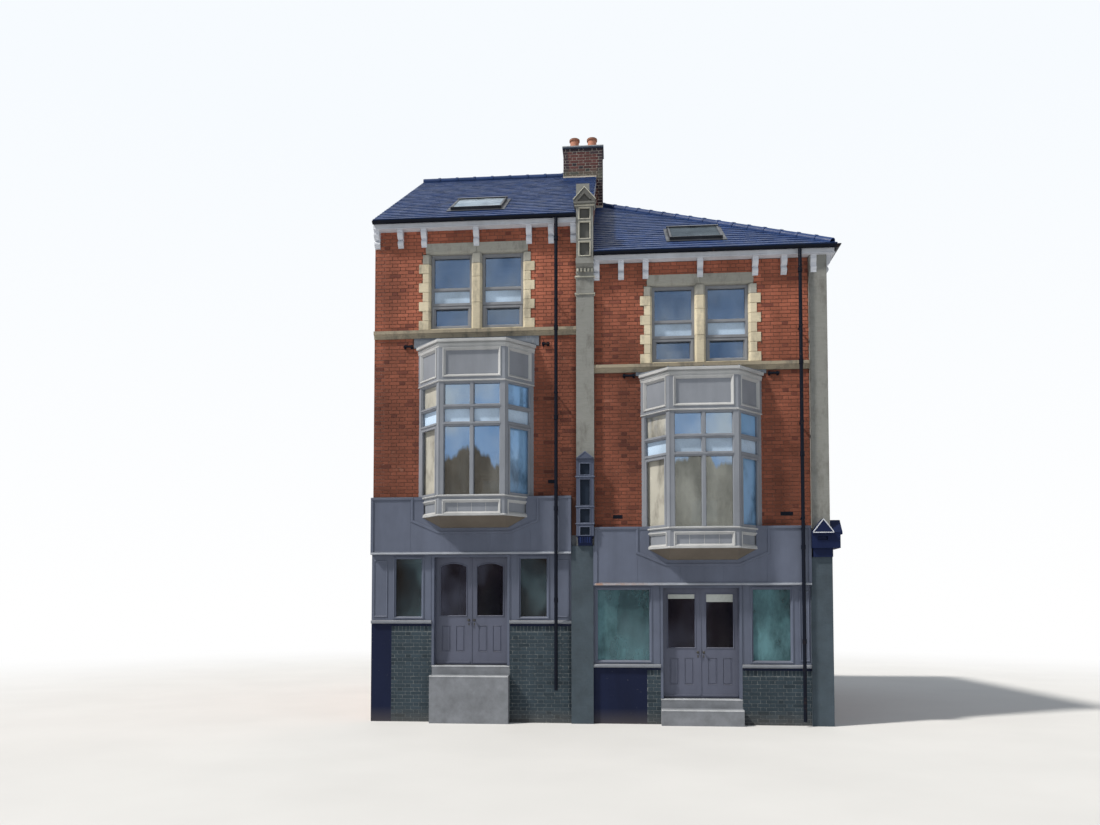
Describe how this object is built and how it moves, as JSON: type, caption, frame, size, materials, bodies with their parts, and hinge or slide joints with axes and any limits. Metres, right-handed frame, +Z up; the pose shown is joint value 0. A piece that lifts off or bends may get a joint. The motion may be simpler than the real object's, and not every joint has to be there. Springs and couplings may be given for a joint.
{
  "type": "corner shop building",
  "caption": "Brick corner shop building of two stepped units with slate roofs, canted oriel bays, shopfronts with double doors and a hipped corner end",
  "frame": {"origin": "centre of the building's box on the plane of its lowest ground, at the foot of the walls", "axes": "+Z up; -Y faces the street front; +X runs along the front to the hipped end on the side street"},
  "size_m": [9.41, 9.47, 14.388],
  "materials": {
    "brick": "matt fired brick",
    "painted_brick": "satin dark green-grey masonry paint",
    "buff_stone": "weathered buff sandstone",
    "grey_render": "weathered grey render",
    "slate": "blue-black slates, matt",
    "grey_paint": "satin mid-grey paint on timber",
    "white_paint": "satin white paint on timber",
    "window_paint": "satin grey paint on timber",
    "sash_paint": "satin white paint on timber",
    "console_paint": "satin blue-black paint",
    "black_iron": "gloss black paint, worn",
    "clear_glass": "clear window glass",
    "terracotta": "sooty terracotta",
    "roof_window_metal": "dark grey coated metal",
    "floor_timber": "bare boards on joists",
    "concrete": "cast concrete"
  },
  "bodies": {
    "building": {"party_walls": "brick", "front_walls": "brick", "rear_walls": "brick", "side_wall": "brick", "shop_beams": "concrete", "ground_floors": "floor_timber", "upper_floors": "floor_timber", "roof_front": "slate", "roof_rear": "slate", "roof_side": "slate", "ridge_and_hip_tiles": "slate", "chimney_stack": "brick", "chimney_cap_slab": "concrete", "chimney_pots": "terracotta", "skylight_frames": "roof_window_metal", "eaves_boards": "white_paint", "eaves_brackets": "white_paint", "gutters": "black_iron", "downpipes": "black_iron", "string_courses": "buff_stone", "window_surrounds": "buff_stone", "upper_window_frames": "window_paint", "side_window_frames": "sash_paint", "window_glass": "clear_glass", "plain_stones": "buff_stone", "oriel_bases": "grey_paint", "oriel_frame_left": "grey_paint", "oriel_frame_right": "grey_paint", "oriel_panels": "grey_paint", "oriel_roofs": "grey_paint", "oriel_glass": "clear_glass", "shop_fascias": "grey_paint", "shopfront_posts": "grey_paint", "shopfront_rails": "grey_paint", "shop_sills": "grey_paint", "stall_risers": "painted_brick", "shop_glass": "clear_glass", "door_steps": "concrete", "middle_pilaster": "grey_render", "corner_pilaster": "grey_render", "consoles": "console_paint"},
    "door_1": {"door_leaf_1": "grey_paint", "door_glass_1": "clear_glass"},
    "door_2": {"door_leaf_2": "grey_paint", "door_glass_2": "clear_glass"},
    "door_3": {"door_leaf_3": "grey_paint", "door_glass_3": "clear_glass"},
    "door_4": {"door_leaf_4": "grey_paint", "door_glass_4": "clear_glass"}
  },
  "joints": [
    {"name": "left_shop_left_leaf_hinge", "type": "hinge", "parent": "building", "child": "door_1", "pos_m": [-3.411, -4.01, 1.149], "axis": [0, 0, 1], "range_deg": [0, 90]},
    {"name": "left_shop_right_leaf_hinge", "type": "hinge", "parent": "building", "child": "door_2", "pos_m": [-1.909, -4.01, 1.149], "axis": [0, 0, -1], "range_deg": [0, 90]},
    {"name": "right_shop_left_leaf_hinge", "type": "hinge", "parent": "building", "child": "door_3", "pos_m": [1.2015, -4.01, 0.514], "axis": [0, 0, 1], "range_deg": [0, 90]},
    {"name": "right_shop_right_leaf_hinge", "type": "hinge", "parent": "building", "child": "door_4", "pos_m": [2.7035, -4.01, 0.514], "axis": [0, 0, -1], "range_deg": [0, 90]}
  ]
}
